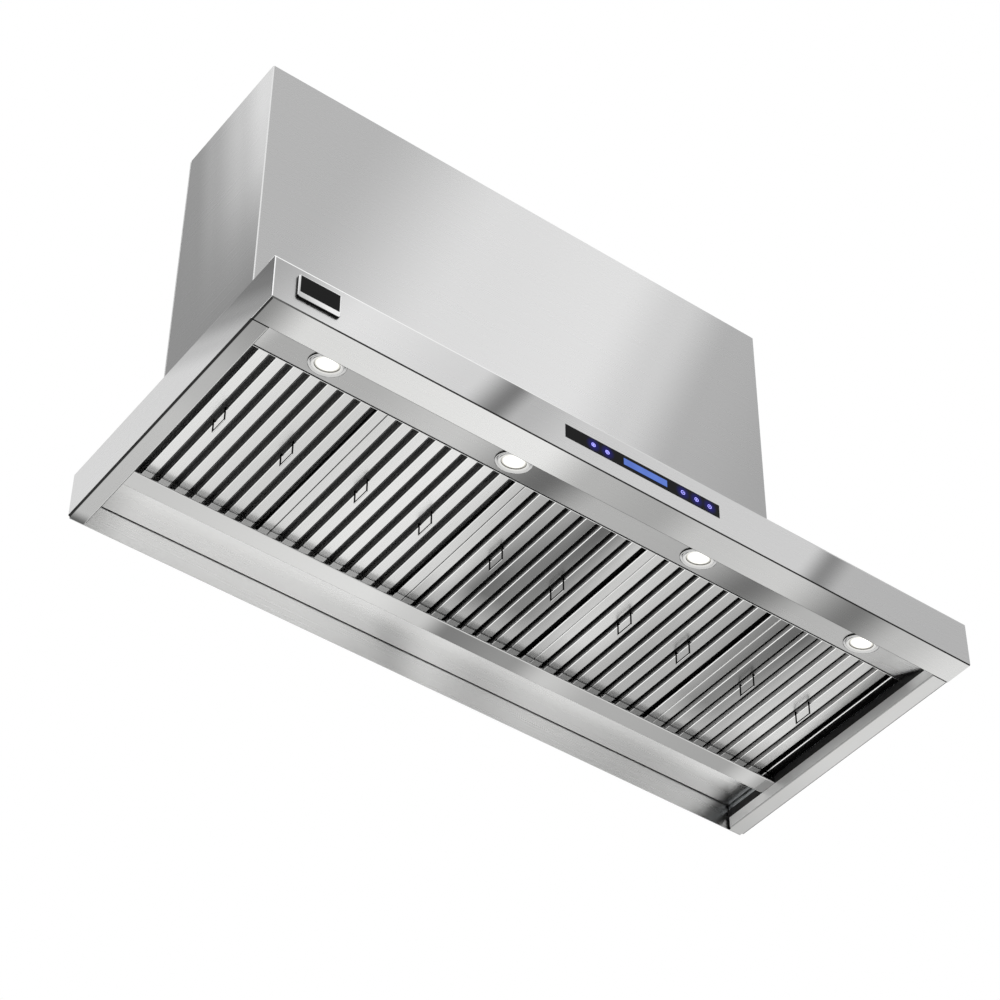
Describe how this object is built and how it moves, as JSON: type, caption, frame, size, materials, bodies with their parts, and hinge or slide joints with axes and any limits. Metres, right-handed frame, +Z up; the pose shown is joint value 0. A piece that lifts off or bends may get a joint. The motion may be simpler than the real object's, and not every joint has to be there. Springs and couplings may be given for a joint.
{
  "type": "wall-mount grill hood",
  "caption": "Wide wall-mount outdoor grill hood: shallow folded steel canopy with swing-down baffle filters, recessed lamps and a touch panel under a tall box with two blowers.",
  "frame": {"origin": "on the wall plane, on the centre line, level with the canopy's top", "axes": "+X to the right as seen from the front, front faces -Y, +Z up"},
  "size_m": [1.5, 0.6404, 1.106],
  "materials": {
    "stainless": "satin brushed stainless sheet",
    "polished_steel": "polished stainless",
    "galvanised": "zinc-coated sheet",
    "dark_steel": "dark painted steel",
    "black_rubber": "matt black rubber",
    "black_plastic": "matt black moulding",
    "black_glass": "black back-printed touch glass",
    "board": "green circuit board",
    "lit_blue": "blue backlit print",
    "lens": "frosted lens",
    "cast_alloy": "die-cast alloy",
    "black_plate": "black lacquered plate"
  },
  "bodies": {
    "hood": {"front_panel": "stainless", "left_side_panel": "stainless", "right_side_panel": "stainless", "canopy_top": "galvanised", "back_panel": "galvanised", "light_panel": "stainless", "rear_rail": "polished_steel", "rear_pan": "stainless", "side_liners": "galvanised", "side_seals": "black_rubber", "box_wrap": "stainless", "box_top": "galvanised", "wall_channels": "galvanised", "left_duct_collar": "galvanised", "right_duct_collar": "galvanised", "damper_rods": "dark_steel", "left_riser_duct": "galvanised", "right_riser_duct": "galvanised", "left_blower_housing": "galvanised", "right_blower_housing": "galvanised", "left_blower_motor": "dark_steel", "right_blower_motor": "dark_steel", "motor_brackets": "dark_steel", "blower_rails": "galvanised", "control_glass": "black_glass", "control_housing": "black_plastic", "control_board": "board", "display": "lit_blue", "touch_rings": "lit_blue", "lamp_bezels": "polished_steel", "lamp_lenses": "lens", "lamp_cans": "cast_alloy", "lamp_driver": "cast_alloy", "junction_box": "galvanised", "junction_lid": "galvanised", "cable_grommet": "black_rubber", "badge_plate": "black_plate", "badge_frame": "polished_steel"},
    "filter_1": {"filter_1_frame": "stainless", "filter_1_baffles": "stainless", "filter_1_handles": "polished_steel"},
    "filter_2": {"filter_2_frame": "stainless", "filter_2_baffles": "stainless", "filter_2_handles": "polished_steel"},
    "filter_3": {"filter_3_frame": "stainless", "filter_3_baffles": "stainless", "filter_3_handles": "polished_steel"},
    "filter_4": {"filter_4_frame": "stainless", "filter_4_baffles": "stainless", "filter_4_handles": "polished_steel"},
    "filter_5": {"filter_5_frame": "stainless", "filter_5_baffles": "stainless", "filter_5_handles": "polished_steel"},
    "left_wheel": {"left_blower_wheel": "galvanised"},
    "left_flap_inner": {"left_damper_flap_inner": "galvanised"},
    "left_flap_outer": {"left_damper_flap_outer": "galvanised"},
    "right_wheel": {"right_blower_wheel": "galvanised"},
    "right_flap_inner": {"right_damper_flap_inner": "galvanised"},
    "right_flap_outer": {"right_damper_flap_outer": "galvanised"}
  },
  "joints": [
    {"name": "filter_1_swing", "type": "hinge", "parent": "hood", "child": "filter_1", "pos_m": [-0.572, -0.1425, -0.055], "axis": [1, 0, 0], "range_deg": [0, 75]},
    {"name": "filter_2_swing", "type": "hinge", "parent": "hood", "child": "filter_2", "pos_m": [-0.286, -0.1425, -0.055], "axis": [1, 0, 0], "range_deg": [0, 75]},
    {"name": "filter_3_swing", "type": "hinge", "parent": "hood", "child": "filter_3", "pos_m": [0, -0.1425, -0.055], "axis": [1, 0, 0], "range_deg": [0, 75]},
    {"name": "filter_4_swing", "type": "hinge", "parent": "hood", "child": "filter_4", "pos_m": [0.286, -0.1425, -0.055], "axis": [1, 0, 0], "range_deg": [0, 75]},
    {"name": "filter_5_swing", "type": "hinge", "parent": "hood", "child": "filter_5", "pos_m": [0.572, -0.1425, -0.055], "axis": [1, 0, 0], "range_deg": [0, 75]},
    {"name": "left_wheel_spin", "type": "hinge", "parent": "hood", "child": "left_wheel", "pos_m": [-0.3, -0.15, 0.152], "axis": [1, 0, 0], "continuous": true},
    {"name": "left_flap_inner_lift", "type": "hinge", "parent": "hood", "child": "left_flap_inner", "pos_m": [-0.3, -0.15, 0.978], "axis": [0, -1, 0], "range_deg": [0, 80]},
    {"name": "left_flap_outer_lift", "type": "hinge", "parent": "hood", "child": "left_flap_outer", "pos_m": [-0.3, -0.15, 0.978], "axis": [0, 1, 0], "range_deg": [0, 80]},
    {"name": "right_wheel_spin", "type": "hinge", "parent": "hood", "child": "right_wheel", "pos_m": [0.3, -0.15, 0.152], "axis": [1, 0, 0], "continuous": true},
    {"name": "right_flap_inner_lift", "type": "hinge", "parent": "hood", "child": "right_flap_inner", "pos_m": [0.3, -0.15, 0.978], "axis": [0, 1, 0], "range_deg": [0, 80]},
    {"name": "right_flap_outer_lift", "type": "hinge", "parent": "hood", "child": "right_flap_outer", "pos_m": [0.3, -0.15, 0.978], "axis": [0, -1, 0], "range_deg": [0, 80]}
  ]
}
